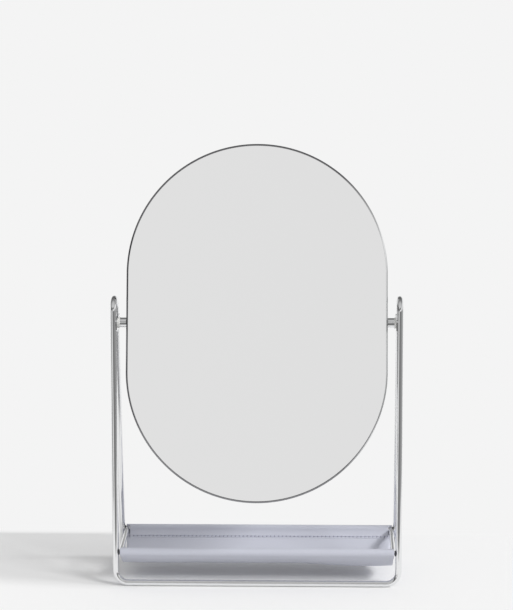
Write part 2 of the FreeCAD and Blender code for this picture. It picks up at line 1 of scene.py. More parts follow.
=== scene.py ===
# %% [markdown]
# # A tilting table mirror with a leather tray
# The real thing is a pill-shaped mirror in a thin polished band. It turns between two
# hairpins of round wire, and a strip of lilac leather hangs between them as a tray.
# The metal parts come in at their true size and place as a fixed frame. This lesson adds
# what makes them look real: finishes, the leather with its seams, weld beads and light.

# %% Load the frame
import json
import math

import bpy
from mathutils import Matrix, Vector, kdtree


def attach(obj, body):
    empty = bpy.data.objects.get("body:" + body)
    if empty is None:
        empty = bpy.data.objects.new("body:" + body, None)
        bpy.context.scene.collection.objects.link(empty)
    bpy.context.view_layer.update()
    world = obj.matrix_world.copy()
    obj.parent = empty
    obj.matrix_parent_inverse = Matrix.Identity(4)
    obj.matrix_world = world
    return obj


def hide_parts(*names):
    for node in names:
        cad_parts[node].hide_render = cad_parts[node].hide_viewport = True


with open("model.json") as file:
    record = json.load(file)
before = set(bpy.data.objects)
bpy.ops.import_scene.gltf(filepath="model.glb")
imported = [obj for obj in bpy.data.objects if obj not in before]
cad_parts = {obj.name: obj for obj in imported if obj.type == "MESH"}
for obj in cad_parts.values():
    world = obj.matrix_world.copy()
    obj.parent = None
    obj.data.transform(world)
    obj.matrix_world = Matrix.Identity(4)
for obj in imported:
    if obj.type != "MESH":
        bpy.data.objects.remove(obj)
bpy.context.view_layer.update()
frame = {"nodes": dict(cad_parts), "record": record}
nodes = frame["nodes"]
scene = bpy.context.scene
MM = 0.001

# %% [markdown]
# ## The camera
# A camera is a place, a heading and a focal length. A long lens from a little above keeps
# the wires nearly parallel and shows into the tray. The matrix is written from three
# directions, right, up and backwards, because that leaves nothing to a tracking
# constraint. A small roll levels the picture the way a hand-levelled tripod would. The
# focal length is given in pixels of the picture's height.

# %% Place the camera
PICTURE_HEIGHT = 610
FOCAL_PIXELS = 2098.3
SENSOR_HEIGHT = 36.0
CAMERA_PLACE = Vector((0.0400, -1.3029, 0.4792))
HEADING = math.radians(-1.767)
PITCH = math.radians(12.923)
CAMERA_ROLL = math.radians(-0.279)
SIGHT_END = 20.0


def camera_matrix():
    """World matrix of a camera from its place, heading, downward pitch and roll."""
    level = Vector((math.sin(HEADING), math.cos(HEADING), 0.0))
    right = Vector((math.cos(HEADING), -math.sin(HEADING), 0.0))
    forward = level * math.cos(PITCH) + Vector((0, 0, -math.sin(PITCH)))
    up = right.cross(forward)
    turned_right = right * math.cos(CAMERA_ROLL) + up * math.sin(CAMERA_ROLL)
    turned_up = up * math.cos(CAMERA_ROLL) - right * math.sin(CAMERA_ROLL)
    matrix = Matrix((turned_right, turned_up, -forward)).transposed().to_4x4()
    matrix.translation = CAMERA_PLACE
    return matrix


camera_data = bpy.data.cameras.new("camera")
camera = bpy.data.objects.new("camera", camera_data)
scene.collection.objects.link(camera)
camera_data.sensor_fit = "VERTICAL"
camera_data.sensor_height = SENSOR_HEIGHT
camera_data.lens = FOCAL_PIXELS * SENSOR_HEIGHT / PICTURE_HEIGHT
camera_data.clip_end = SIGHT_END
camera.matrix_world = camera_matrix()
scene.camera = camera
scene.view_settings.view_transform = "Standard"
print(f"lens {camera_data.lens:.1f} mm")

# %% [markdown]
# ## Shader maths in plain Python
# A material is a graph of nodes. Wiring one Math node at a time hides the idea, so a small
# class wraps a socket and lets `a * b + 1` add the Math nodes itself. Every other node
# comes from one method that takes its type, its settings and the values of its sockets.


# %% A socket that can do sums
class Socket:
    """An output of a node graph, with arithmetic that adds Math nodes."""

    def __init__(self, graph, output):
        self.graph = graph
        self.output = output

    def __add__(self, other):
        return self.graph.math("ADD", self, other)

    def __sub__(self, other):
        return self.graph.math("SUBTRACT", self, other)

    def __rsub__(self, other):
        return self.graph.math("SUBTRACT", other, self)

    def __mul__(self, other):
        return self.graph.math("MULTIPLY", self, other)


class Graph:
    """A node tree under construction."""

    def __init__(self, tree):
        self.tree = tree
        tree.nodes.clear()

    def node(self, kind, settings=None, inputs=None, output=0):
        """Add one node: settings first, then its sockets; returns one of its outputs."""
        made = self.tree.nodes.new(kind)
        for name, value in (settings or {}).items():
            if name == "stops":
                set_stops(made.color_ramp, value)
            else:
                setattr(made, name, value)
        for name, value in (inputs or {}).items():
            self.feed(made.inputs[name], value)
        return Socket(self, made.outputs[output]) if made.outputs else made

    def feed(self, socket, value):
        """Link a socket to another, or set its own value."""
        if isinstance(value, Socket):
            self.tree.links.new(value.output, socket)
        else:
            socket.default_value = value

    def math(self, operation, first, second=0.0):
        """One Math node."""
        return self.node("ShaderNodeMath", {"operation": operation}, {0: first, 1: second})

    def mix(self, factor, first, second):
        """Mix two colours. The Mix node keeps its colour sockets at 6, 7 and 2."""
        sockets = {0: factor, 6: first, 7: second}
        return self.node("ShaderNodeMix", {"data_type": "RGBA"}, sockets, 2)

    def place(self, stretch=(1.0, 1.0, 1.0)):
        """The place on the object in metres, stretched along the axes."""
        where = self.node("ShaderNodeTexCoord", None, None, "Object")
        return self.node("ShaderNodeMapping", None, {"Vector": where, "Scale": stretch})

    def azimuth(self, direction):
        """Where a direction points on the compass: 0.25 front, 0.5 right, 0.75 back."""
        settings = {"gradient_type": "RADIAL"}
        return self.node("ShaderNodeTexGradient", settings, {"Vector": direction})

    def polished_view(self):
        """1 for what is seen in polished metal, and 0 for light on matt surfaces."""
        glossy = self.node("ShaderNodeLightPath", None, None, "Is Glossy Ray")
        depth = self.node("ShaderNodeLightPath", None, None, "Diffuse Depth")
        return glossy * self.math("LESS_THAN", depth, 0.5)

    def axis(self, vector, name):
        """One of the three parts of a vector."""
        return self.node("ShaderNodeSeparateXYZ", None, {"Vector": vector}, name)

    def noise(self, where, scale, detail=2.0):
        """Soft clouds, so many to the metre."""
        sockets = {"Vector": where, "Scale": scale, "Detail": detail}
        return self.node("ShaderNodeTexNoise", None, sockets)

    def ramp(self, value, *stops):
        """A tone for each value, by stops."""
        return self.node("ShaderNodeValToRGB", {"stops": stops}, {"Fac": value})

    def bump(self, height, distance, strength):
        """A height that only bends the light, at most distance deep in metres."""
        sockets = {"Height": height, "Distance": distance, "Strength": strength}
        return self.node("ShaderNodeBump", None, sockets)


def grey(tone):
    """A neutral colour."""
    return (tone, tone, tone, 1.0)


def set_stops(ramp, stops):
    """Give a colour ramp its stops, each a place and a grey or a colour."""
    while len(ramp.elements) < len(stops):
        ramp.elements.new(1.0)
    for element, (place, tone) in zip(ramp.elements, stops):
        element.position = place
        element.color = tone if isinstance(tone, tuple) else grey(tone)


def new_finish(name):
    """A new material and its empty graph."""
    material = bpy.data.materials.new(name)
    material.use_nodes = True
    return material, Graph(material.node_tree)


def close_finish(graph, **sockets):
    """End a graph with the main shader; double underscores in names stand for spaces."""
    inputs = {name.replace("__", " "): value for name, value in sockets.items()}
    shader = graph.node("ShaderNodeBsdfPrincipled", None, inputs)
    graph.node("ShaderNodeOutputMaterial", None, {"Surface": shader})


# %% [markdown]
# ## Polished chrome
# Chrome shows almost nothing of its own: it is the room, bent round the wire. Two things
# keep it from looking computed. The polish isn't equally fine everywhere, so the roughness
# wanders a little, and handling leaves faint marks, which a low bump gives. The rolled
# band is a darker copy of the chrome, which is painted shade, and its right side is
# painted as bright as the wire, which is a painted highlight. A ramp along X, in tenths
# of a metre, says where that painted highlight lies.

# %% The chrome finish
CHROME_TINT = (0.87, 0.875, 0.88, 1.0)
# The band's darker tint is painted shade, and the ramp below places its painted highlight.
BAND_PAINTED_SHADE_TINT = (0.27, 0.27, 0.28, 1.0)
TENTHS = 10.0
PAINTED_HIGHLIGHT_SIDE = ((0.55, 0.0), (0.80, 1.0))


def make_chrome(name, tint, low, high, painted_highlight_side=False):
    """Chrome of one tint, whose roughness wanders between two values; its right side can
    get a painted highlight.
    """
    material, graph = new_finish(name)
    where = graph.place()
    if painted_highlight_side:
        # The right side gets a painted highlight: the tint mixes back to the full chrome.
        side = graph.ramp(graph.axis(where, "X") * TENTHS, *PAINTED_HIGHLIGHT_SIDE)
        tint = graph.mix(side, tint, CHROME_TINT)
    clouds = graph.noise(where, scale=90.0)
    scuffs = graph.noise(graph.place(stretch=(1.0, 1.0, 0.25)), scale=900.0)
    roughness = clouds * (high - low) + low
    normal = graph.bump(scuffs, distance=0.000002, strength=0.35)
    close_finish(
        graph, Base__Color=tint, Metallic=1.0, Roughness=roughness, Normal=normal
    )
    return material


chrome = make_chrome("polished chrome", CHROME_TINT, low=0.05, high=0.13)
# The band: a darker copy of the chrome, painted shade, with a painted highlight at the
# right.
band_chrome_painted_shade = make_chrome(
    "rolled band chrome with painted shade", BAND_PAINTED_SHADE_TINT, low=0.07, high=0.16, painted_highlight_side=True
)
print("made", chrome.name, "and", band_chrome_painted_shade.name)

# %% [markdown]
# ## Mirror glass
# A mirror is silver behind clear float glass. Seen from the front it acts as one very
# smooth metal. A breath of uneven wiping keeps it from being perfect.

# %% The mirror finish
MIRROR_TINT = grey(0.89)


def make_mirror():
    material, graph = new_finish("silvered glass")
    wiping = graph.noise(graph.place(stretch=(1.0, 1.0, 0.3)), scale=25.0, detail=4.0)
    close_finish(
        graph,
        Base__Color=MIRROR_TINT,
        Metallic=1.0,
        Roughness=wiping * 0.012 + 0.004,
    )
    return material


mirror = make_mirror()
print("made", mirror.name)

# %% [markdown]
# ## The small parts
# The back is a sheet with powder coat, which is a fine orange peel under a satin gloss.
# Nylon washers are milky and a little waxy. The cup springs are plain steel, a little
# blue. The board in the tray shows only its edge, which has the leather's edge dye. The
# foam behind the glass is fine open cells, whose hollows get painted shade.

# %% The small parts' finishes
FOAM_HOLLOW_SHADE = ((0.0, 0.45), (0.6, 0.7))


def make_powder_coat():
    material, graph = new_finish("powder coat")
    peel = graph.noise(graph.place(), scale=2600.0, detail=3.0)
    tone = graph.noise(graph.place(), scale=14.0, detail=3.0)
    colour = graph.mix(tone, (0.60, 0.60, 0.615, 1.0), (0.66, 0.66, 0.67, 1.0))
    roughness = peel * 0.12 + 0.36
    normal = graph.bump(peel, distance=0.00003, strength=0.5)
    close_finish(graph, Base__Color=colour, Roughness=roughness, Normal=normal)
    return material


def make_nylon():
    material, graph = new_finish("nylon")
    tone = graph.noise(graph.place(), scale=400.0)
    colour = graph.mix(tone, (0.80, 0.80, 0.78, 1.0), (0.88, 0.88, 0.86, 1.0))
    close_finish(graph, Base__Color=colour, Roughness=tone * 0.1 + 0.38)
    return material


def make_spring_steel():
    material, graph = new_finish("spring steel")
    grain = graph.noise(graph.place(), scale=3000.0, detail=3.0)
    colour = graph.mix(grain, (0.42, 0.43, 0.45, 1.0), (0.56, 0.57, 0.59, 1.0))
    close_finish(graph, Base__Color=colour, Metallic=1.0, Roughness=grain * 0.15 + 0.25)
    return material


def make_board():
    material, graph = new_finish("fibreboard")
    fibres = graph.noise(graph.place(stretch=(1.0, 1.0, 4.0)), scale=1200.0, detail=5.0)
    colour = graph.mix(fibres, (0.33, 0.34, 0.40, 1.0), (0.43, 0.44, 0.51, 1.0))
    normal = graph.bump(fibres, distance=0.00008, strength=0.6)
    close_finish(graph, Base__Color=colour, Roughness=fibres * 0.1 + 0.8, Normal=normal)
    return material


def make_foam():
    material, graph = new_finish("foam")
    cells = graph.node(
        "ShaderNodeTexVoronoi", None, {"Vector": graph.place(), "Scale": 1800.0}
    )
    # The hollows of the cells are painted darker: painted shade.
    colour = graph.ramp(cells, *FOAM_HOLLOW_SHADE)
    normal = graph.bump(cells, distance=0.0001, strength=0.6)
    close_finish(graph, Base__Color=colour, Roughness=cells * 0.1 + 0.85, Normal=normal)
    return material


powder_coat = make_powder_coat()
nylon = make_nylon()
spring_steel = make_spring_steel()
board = make_board()
foam = make_foam()
print("made the small parts' finishes")

# %% Give every part but the leather its finish
FINISH_OF_SLOT = {
    "chrome": chrome,
    "mirror_glass": mirror,
    "painted_sheet": powder_coat,
    "nylon": nylon,
    "spring_steel": spring_steel,
    "fibreboard": board,
    "foam": foam,
}


def coat(part, finish):
    """Put one finish over a whole part."""
    part.data.materials.clear()
    part.data.materials.append(finish)


for entry in frame["record"]["subparts"]:
    if entry["material_slot"] in FINISH_OF_SLOT:
        coat(nodes[entry["node"]], FINISH_OF_SLOT[entry["material_slot"]])

# %% [markdown]
# ## Leather
# The tray is coated leather: a fine pebble grain of cells with soft creases between them,
# dyed a greyed lilac. The cells are warped, so that they stand in no rows, and a finer
# noise lies over them. Both drive the bump and the sheen, and the creases are painted a
# slightly darker tone, which is painted shade. The needle holes along the two seams get
# painted shade too, as dark spots laid in by their place.

# %% The leather finish
LILAC = (0.577, 0.590, 0.660, 1.0)
# A deeper lilac, used for painted shade in the creases and for random clouds of tone.
LILAC_CREASE_SHADE_AND_CLOUD = (0.523, 0.534, 0.612, 1.0)
# The colour of the painted shade in the needle holes.
HOLE_SHADE = (0.26, 0.26, 0.34, 1.0)
STITCH_PITCH = 2.6 * MM
SEAM_Y = 17.75 * MM
HOLE_RADIUS = 0.42 * MM
LOWEST_HOLE_Z = 16.5 * MM
WARP_DISTANCE = 0.0012
CREASE_TONES = ((0.0, 0.0), (0.16, 1.0))


def needle_hole_shade_mask(graph, where):
    """1 where the needle holes of the two seams get painted shade, and 0 elsewhere."""
    along = graph.math("PINGPONG", graph.axis(where, "X"), STITCH_PITCH / 2)
    across = graph.math("ABSOLUTE", graph.axis(where, "Y"))
    across = graph.math("ABSOLUTE", across - SEAM_Y)
    away = graph.math("POWER", along * along + across * across, 0.5)
    shaded_hole = graph.math("LESS_THAN", away, HOLE_RADIUS)
    return shaded_hole * graph.math("GREATER_THAN", graph.axis(where, "Z"), LOWEST_HOLE_Z)


def make_leather(name, grain_scale):
    """Lilac leather with so many grain cells to the metre."""
    material, graph = new_finish(name)
    where = graph.place()
    warp = graph.node(
        "ShaderNodeTexNoise", None, {"Vector": where, "Scale": 300.0}, "Color"
    )
    scaled = graph.node(
        "ShaderNodeVectorMath", {"operation": "SCALE"}, {0: warp, "Scale": WARP_DISTANCE}
    )
    bent = graph.node("ShaderNodeVectorMath", {"operation": "ADD"}, {0: where, 1: scaled})
    cells = graph.node(
        "ShaderNodeTexVoronoi",
        {"feature": "DISTANCE_TO_EDGE"},
        {"Vector": bent, "Scale": grain_scale},
    )
    creases = graph.ramp(cells, *CREASE_TONES)
    fine = graph.noise(where, scale=grain_scale * 3.0, detail=3.0)
    clouds = graph.noise(where, scale=22.0, detail=3.0)
    height = creases * 0.7 + fine * 0.3
    # The creases are painted a darker lilac: painted shade.
    tone = graph.mix(creases * 0.45 + 0.55, LILAC_CREASE_SHADE_AND_CLOUD, LILAC)
    colour = graph.mix(clouds * 0.35, tone, LILAC_CREASE_SHADE_AND_CLOUD)
    # The needle holes are painted dark: painted shade.
    colour = graph.mix(needle_hole_shade_mask(graph, where), colour, HOLE_SHADE)
    normal = graph.bump(height, distance=0.00006, strength=0.55)
    close_finish(
        graph,
        Base__Color=colour,
        Roughness=fine * 0.14 + 0.46,
        Normal=normal,
        Specular__IOR__Level=0.35,
    )
    return material


leather = make_leather("lilac leather", grain_scale=1500.0)
lining_leather = make_leather("lilac lining", grain_scale=1700.0)
print("made", leather.name, "and", lining_leather.name)

# %% [markdown]
# ## Working by operators
# A modelling operator works on whatever is selected, so each piece starts from nothing
# selected. A section is drawn as by hand: one vertex is extruded from corner to corner.
# The piece is then finished with its place in its mesh and its object at the origin.

# %% Helpers for modelling
MERGE_DISTANCE = 0.000002


def start_fresh():
    """Leave edit mode and deselect everything."""
    if bpy.context.object and bpy.context.object.mode != "OBJECT":
        bpy.ops.object.mode_set(mode="OBJECT")
    bpy.ops.object.select_all(action="DESELECT")


def pick(piece):
    """Select one piece alone and make it the active one."""
    start_fresh()
    piece.select_set(True)
    bpy.context.view_layer.objects.active = piece


def settle(piece, name):
    """Back to object mode, with the place in the mesh and the object at the origin."""
    pick(piece)
    bpy.ops.object.transform_apply(location=True, rotation=True, scale=True)
    piece.name = name
    piece.data.name = name
    return piece


def trace(name, points):
    """Draw a line by extruding one vertex from point to point; stays in edit mode."""
    start_fresh()
    bpy.ops.mesh.primitive_plane_add(size=MM, location=points[0])
    piece = bpy.context.object
    piece.name = name
    bpy.ops.object.mode_set(mode="EDIT")
    bpy.ops.mesh.select_mode(type="VERT")
    bpy.ops.mesh.merge(type="CENTER")
    for before, after in zip(points, points[1:]):
        bpy.ops.mesh.extrude_vertices_move(TRANSFORM_OT_translate={"value": after - before})
    return piece


def weld_and_face_out():
    """Merge doubles and turn all faces outwards, in edit mode."""
    bpy.ops.mesh.select_all(action="SELECT")
    bpy.ops.mesh.remove_doubles(threshold=MERGE_DISTANCE)
    bpy.ops.mesh.normals_make_consistent(inside=False)


def finish_with(piece, kind, **settings):
    """Add one modifier, set it and apply it."""
    pick(piece)
    modifier = piece.modifiers.new(kind.lower(), kind)
    for name, value in settings.items():
        setattr(modifier, name, value)
    bpy.ops.object.modifier_apply(modifier=modifier.name)


def round_edges(sheet, width):
    """Round the sharp edges of a sheet."""
    finish_with(
        sheet, "BEVEL", width=width, segments=2, limit_method="ANGLE", angle_limit=1.2
    )


def dress(piece, finish, body):
    """Give a piece its finish and the body it rides on."""
    coat(piece, finish)
    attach(piece, body)
    print(f"{piece.name}: {len(piece.data.polygons)} faces")


# %% [markdown]
# ## The leather tray, as a strip
# On the real tray one strip of leather comes out from under a seam inside, rolls over the
# front rail, hangs down in a belly, rises to the rear rail and rolls over it back to
# another seam. So the piece is that strip: its section is traced once, from seam to seam,
# then extruded along the rails, and Solidify gives it the leather's thickness.
# The section is three curves that meet smoothly: an arc for the belly, a roll about the
# rail, and a short easing down to the flap that the seam holds.

# %% Sizes of the tray
RAIL_Y = 23.385 * MM
RAIL_Z = 22.2 * MM
RAIL_RADIUS = 1.5 * MM
LEATHER = 1.2 * MM
BOARD = 0.8 * MM
LINING = 1.0 * MM + LEATHER
ROLL_OUTSIDE = RAIL_RADIUS + LEATHER
TRAY_DROP = 13.4 * MM
SAG = TRAY_DROP - ROLL_OUTSIDE
ARC_RISE = (RAIL_Y**2 - SAG**2) / (2 * SAG)
ARC_Z = RAIL_Z + ARC_RISE
BELLY_RADIUS = ARC_RISE + TRAY_DROP - LEATHER / 2
FLAP_RADIUS = ARC_RISE + TRAY_DROP - LEATHER - BOARD - LINING + LEATHER / 2
ROLL_RADIUS = ROLL_OUTSIDE - LEATHER / 2
FLAP_START_Y = 19.0 * MM
FLAP_END_Y = 16.99 * MM
TRAY_HALF = 87.6 * MM
HEM_HALF = 85.75 * MM
BELLY_STEPS, ROLL_STEPS, EASING_STEPS, FLAP_STEPS = 16, 16, 7, 6
ROLL_END = math.radians(168)
EASING_PULL = 3.2 * MM


def on_arc(radius, y):
    """A point of an arc about the belly's centre line."""
    return Vector((0.0, y, ARC_Z - math.sqrt(radius**2 - y**2)))


def around_rail(angle):
    """A point of the roll about the rear rail, by its angle from straight backwards."""
    reach = Vector((0, math.cos(angle), math.sin(angle))) * ROLL_RADIUS
    return Vector((0, RAIL_Y, RAIL_Z)) + reach


def strip_section():
    """The strip's middle line, from the belly's lowest point to the end of one flap."""
    rail_angle = math.atan2(RAIL_Z - ARC_Z, RAIL_Y)
    points = []
    for step in range(BELLY_STEPS):
        angle = -math.pi / 2 + (rail_angle + math.pi / 2) * step / BELLY_STEPS
        reach = Vector((0, math.cos(angle), math.sin(angle))) * BELLY_RADIUS
        points.append(Vector((0, 0, ARC_Z)) + reach)
    for step in range(ROLL_STEPS + 1):
        angle = rail_angle + (ROLL_END - rail_angle) * step / ROLL_STEPS
        points.append(around_rail(angle))
    start, end = points[-1], on_arc(FLAP_RADIUS, FLAP_START_Y)
    leaving = Vector((0, -math.sin(ROLL_END), math.cos(ROLL_END))) * EASING_PULL
    slope = math.asin(FLAP_START_Y / FLAP_RADIUS)
    arriving = Vector((0, -math.cos(slope), -math.sin(slope))) * EASING_PULL
    for step in range(1, EASING_STEPS):
        t = step / EASING_STEPS
        points.append(
            start * (2 * t**3 - 3 * t**2 + 1)
            + leaving * (t**3 - 2 * t**2 + t)
            + end * (3 * t**2 - 2 * t**3)
            + arriving * (t**3 - t**2)
        )
    for step in range(FLAP_STEPS + 1):
        y = FLAP_START_Y + (FLAP_END_Y - FLAP_START_Y) * step / FLAP_STEPS
        points.append(on_arc(FLAP_RADIUS, y))
    return points


half_section = strip_section()
mirrored = [Vector((0, -point.y, point.z)) for point in reversed(half_section[1:])]
section = mirrored + half_section
print(f"strip section: {len(section)} points")

# %% [markdown]
# Extruding the section once gives one long face per span. Extruding it in many short
# steps gives the rows that the seam's dimples and the soft waves need later.

# %% Extrude the strip along the rails
ROWS_PER_STITCH = 4
ROW = STITCH_PITCH / ROWS_PER_STITCH
ROW_COUNT = round(2 * TRAY_HALF / ROW)


def extrude_along_x(name, points, rows, length):
    """Trace points at one end and extrude them along +X in equal rows."""
    offset = Vector((-length / 2, 0, 0))
    piece = trace(name, [point + offset for point in points])
    bpy.ops.mesh.select_all(action="SELECT")
    for _ in range(rows):
        bpy.ops.mesh.extrude_region_move(
            TRANSFORM_OT_translate={"value": (length / rows, 0, 0)}
        )
    return settle(piece, name)


strip = extrude_along_x("tray_leather", section, ROW_COUNT, 2 * TRAY_HALF)
print(f"{ROW_COUNT} rows, {len(strip.data.vertices)} vertices")

# %% [markdown]
# ### Shaping the strip
# Four things happen to a real strip like this. Its rolls cover the side bars' ends and
# are cut back inside, where those bars leave them. The sag draws the middle of each open
# end inwards. The seam pulls the flap down in a dimple at every stitch, with the leather
# between two stitches standing up a little. And the belly hangs a little looser in front
# towards the right. Each is a small move of vertices by place. A pair of numbers says
# where such a move starts and where it is whole, and waves are given per metre.

# %% Shape the strip's ends, seams and waves
FLAP_POINTS = EASING_STEPS + FLAP_STEPS
END_PULL = 1.5 * MM
END_PULL_FADE = (7 * MM, 16 * MM)
LIP_REACH = 0.6 * MM
LIP_RISE = (17.5 * MM, 20.0 * MM)
HEM_TURN = (1.35, 2.2)
STITCH_DEPTH = 0.22 * MM
SEAM_SPREAD = 0.55 * MM
FLAP_WAVE, FLAP_WAVE_RATE = 0.06 * MM, 210.0
BELLY_RISE = (21.0 * MM, 12.0 * MM)
BELLY_WAVE, BELLY_WAVE_START = 0.22 * MM, 1.3
SLOW_RATE, QUICK_RATE, SLANT_RATE = 47.0, 113.0, 60.0
RIGHT_DROP = 0.35 * MM
LOOSE_BELLY = 1.35 * MM
LOOSE_RISE = (26 * MM, 66 * MM)
LOOSE_FADE, LOOSE_LOSS = (78 * MM, 87 * MM), 0.3
LOOSE_FRONT = (6 * MM, -6 * MM)


def smooth_step(start, whole, value):
    """0 before start, 1 past whole, and a soft rise between; start may be larger."""
    t = min(max((value - start) / (whole - start), 0.0), 1.0)
    return t * t * (3 - 2 * t)


def half_length_at(y, z, on_flap):
    """How far the strip reaches along X at one place of its section."""
    belly = TRAY_HALF - END_PULL * (1 - smooth_step(*END_PULL_FADE, abs(y)))
    if on_flap:
        return HEM_HALF
    if z < LIP_RISE[0]:
        return belly
    round_rail = math.atan2(z - RAIL_Z, abs(y) - RAIL_Y)
    lip = belly + LIP_REACH * smooth_step(*LIP_RISE, z)
    return lip + (HEM_HALF - lip) * smooth_step(*HEM_TURN, round_rail)


def press_seam(x, y, z):
    """A flap's point, pressed in by the nearest stitch and waving along the flap."""
    side = math.copysign(1.0, y)
    closeness = math.exp(-(((abs(y) - SEAM_Y) / SEAM_SPREAD) ** 2))
    wave = 0.5 + 0.5 * math.cos(2 * math.pi * x / STITCH_PITCH)
    push = STITCH_DEPTH * closeness * (0.35 + 0.65 * wave)
    inward = Vector((0, y, z - ARC_Z)).normalized()
    y += inward.y * push
    z += inward.z * push
    y += side * FLAP_WAVE * math.sin(x * FLAP_WAVE_RATE + side)
    return y, z


def hang_belly(x, y, z, share):
    """A belly point's height, with waves, a drop to the right and a looser front."""
    belly = smooth_step(*BELLY_RISE, z)
    wave = math.sin(x * SLOW_RATE + BELLY_WAVE_START) * 0.5
    wave += math.sin(x * QUICK_RATE + y * SLANT_RATE) * 0.25
    z += belly * (wave * BELLY_WAVE - (0.5 + 0.5 * share) * RIGHT_DROP)
    loose = smooth_step(*LOOSE_RISE, x) * (1 - LOOSE_LOSS * smooth_step(*LOOSE_FADE, x))
    return z - LOOSE_BELLY * loose * belly * smooth_step(*LOOSE_FRONT, y)


def shape_strip(piece):
    """Trim the ends, dimple the seams and let the belly wave a little."""
    tree = kdtree.KDTree(len(section))
    for place, point in enumerate(section):
        tree.insert(point, place)
    tree.balance()
    for vertex in piece.data.vertices:
        y, z = vertex.co.y, vertex.co.z
        place = tree.find((0, y, z))[1]
        on_flap = min(place, len(section) - 1 - place) < FLAP_POINTS
        share = vertex.co.x / TRAY_HALF
        x = share * half_length_at(y, z, on_flap)
        if on_flap:
            y, z = press_seam(x, y, z)
        else:
            z = hang_belly(x, y, z, share)
        vertex.co = (x, y, z)


shape_strip(strip)
finish_with(strip, "SOLIDIFY", thickness=LEATHER, offset=0.0)
round_edges(strip, width=0.3 * MM)
pick(strip)
bpy.ops.object.shade_smooth()
dress(strip, leather, "stand")
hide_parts("tray_skin")

# %% [markdown]
# ### The lining
# Between the two flaps the tray's floor is a second sheet, glued to the board under it.
# It lies flush with the flaps, so that only their stitches show, and it reaches a hair
# under their edges, which closes the joint. It is made as thin as its tucked edge, and
# then its top is raised between the flaps.

# %% Make the lining
BELOW_FLAP = 0.05 * MM
LINING_TOP = FLAP_RADIUS - LEATHER / 2 + BELOW_FLAP
LINING_BOTTOM = ARC_RISE + TRAY_DROP - LEATHER - BOARD
TUCKED = 0.95 * MM
LINING_RADIUS = LINING_BOTTOM - TUCKED / 2
GAP_HALF_Y = 17.06 * MM
TUCKED_PLACES = [17.2 * MM, 18.9 * MM, 20.5 * MM]
OPEN_STEPS = 14
LINING_ROWS = 90
LINING_SHORTER = 0.1 * MM
CORNER_ROOM = 0.03 * MM
open_steps = range(-OPEN_STEPS, OPEN_STEPS + 1)
open_places = [GAP_HALF_Y * step / OPEN_STEPS for step in open_steps]
lining_places = [-y for y in reversed(TUCKED_PLACES)] + open_places + TUCKED_PLACES
lining_section = [on_arc(LINING_RADIUS, y) for y in lining_places]
lining = extrude_along_x(
    "tray_floor_lining", lining_section, LINING_ROWS, 2 * TRAY_HALF
)
for vertex in lining.data.vertices:
    reach = half_length_at(vertex.co.y, 0.0, False) - LINING_SHORTER
    vertex.co.x *= reach / TRAY_HALF
finish_with(lining, "SOLIDIFY", thickness=TUCKED, offset=0.0)
round_edges(lining, width=0.25 * MM)
for vertex in lining.data.vertices:
    reach = Vector((0, vertex.co.y, vertex.co.z - ARC_Z))
    if abs(vertex.co.y) < GAP_HALF_Y + CORNER_ROOM and reach.length < LINING_RADIUS:
        share = (LINING_RADIUS - reach.length) / (TUCKED / 2)
        reach.length = LINING_RADIUS - share * (LINING_RADIUS - LINING_TOP)
        vertex.co.z = ARC_Z + reach.z
        vertex.co.y = reach.y
pick(lining)
bpy.ops.object.shade_smooth()
dress(lining, lining_leather, "stand")
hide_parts("tray_lining")

# %% [markdown]
# ### The stitches
# A lock stitch shows as a short, fat thread that rises from one hole and dives into the
# next. One stitch is a rounded cylinder whose ends are pushed down. It is copied along
# each seam, each copy tilted a little as a machine leaves them.

# %% The thread finish
THREAD_RADIUS = 0.24 * MM
THREAD_LENGTH = 2.05 * MM


def make_thread():
    material, graph = new_finish("lilac thread")
    twist_and_groove_shade = graph.node(
        "ShaderNodeTexWave",
        {"wave_type": "BANDS", "bands_direction": "DIAGONAL"},
        {"Vector": graph.place(), "Scale": 1500.0, "Distortion": 0.6},
    )
    # The twist's grooves are painted darker: painted shade.
    colour = graph.mix(twist_and_groove_shade, (0.43, 0.44, 0.54, 1.0), (0.66, 0.67, 0.76, 1.0))
    normal = graph.bump(twist_and_groove_shade, distance=0.00003, strength=0.7)
    close_finish(graph, Base__Color=colour, Roughness=twist_and_groove_shade * 0.1 + 0.5, Normal=normal)
    return material


thread = make_thread()

# %% Make one stitch and copy it along both seams
THREAD_LIFT = 0.08 * MM
SEAM_RADIUS = FLAP_RADIUS - LEATHER / 2 - THREAD_LIFT
STITCH_COUNT = 65
DIVE, DIVE_TAPER = 0.16 * MM, 0.6
LEAN, LEAN_RATE = math.radians(4.0), 2.3
END_FACING = 0.9


def make_stitch():
    """One stitch along X at the origin, its ends rounded and bent down."""
    start_fresh()
    bpy.ops.mesh.primitive_cylinder_add(
        vertices=8,
        radius=THREAD_RADIUS,
        depth=THREAD_LENGTH,
        rotation=(0, math.pi / 2, 0),
        end_fill_type="NGON",
    )
    piece = settle(bpy.context.object, "stitch")
    for side in (-1, 1):
        bpy.ops.object.mode_set(mode="EDIT")
        bpy.ops.mesh.select_mode(type="FACE")
        bpy.ops.mesh.select_all(action="DESELECT")
        bpy.ops.object.mode_set(mode="OBJECT")
        for face in piece.data.polygons:
            face.select = face.normal.x * side > END_FACING
        bpy.ops.object.mode_set(mode="EDIT")
        bpy.ops.mesh.extrude_region_move(
            TRANSFORM_OT_translate={"value": (side * DIVE, 0, -DIVE)}
        )
        bpy.ops.transform.resize(value=(1, DIVE_TAPER, DIVE_TAPER))
        bpy.ops.object.mode_set(mode="OBJECT")
    bpy.ops.object.shade_smooth()
    return piece


